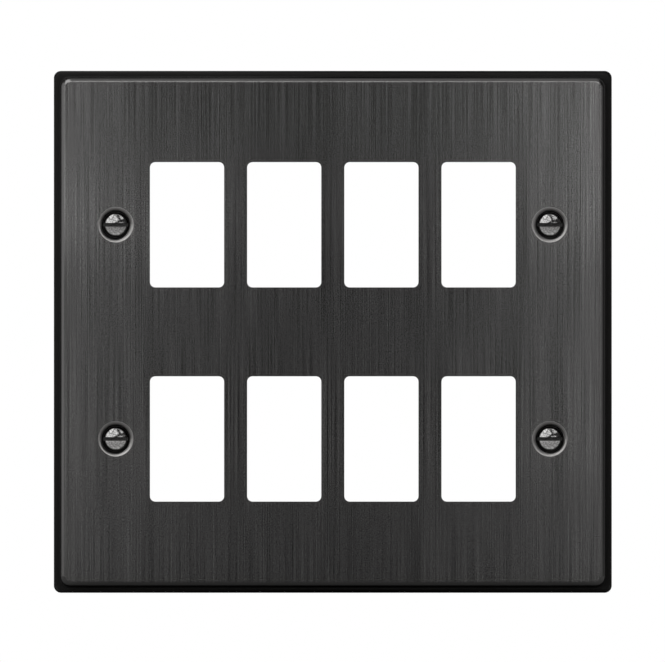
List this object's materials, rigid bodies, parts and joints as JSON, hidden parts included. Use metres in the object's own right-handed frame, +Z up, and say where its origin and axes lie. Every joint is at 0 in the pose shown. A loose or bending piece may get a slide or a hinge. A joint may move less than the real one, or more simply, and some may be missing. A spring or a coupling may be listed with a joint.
{
  "type": "grid switch front plate",
  "caption": "Metal front plate for grid switches: a shallow pressed shell with a stepped edge, rows of round-cornered windows and slotted screws in drawn pockets.",
  "frame": {"origin": "middle of the four fixing screws, on the wall plane that the plate's back rim lies against", "axes": "+X across the plate, +Y into the wall along the screws, +Z up; the face looks along -Y"},
  "size_m": [0.155, 0.0276, 0.145],
  "materials": {
    "brushed_black_nickel": "pressed steel, black nickel plated, the raised face brushed up and down",
    "bright_black_nickel": "steel screws, bright black nickel plated"
  },
  "bodies": {
    "root": {"front_plate": "brushed_black_nickel", "screw_top_left": "bright_black_nickel", "screw_top_right": "bright_black_nickel", "screw_bottom_left": "bright_black_nickel", "screw_bottom_right": "bright_black_nickel"}
  },
  "joints": []
}
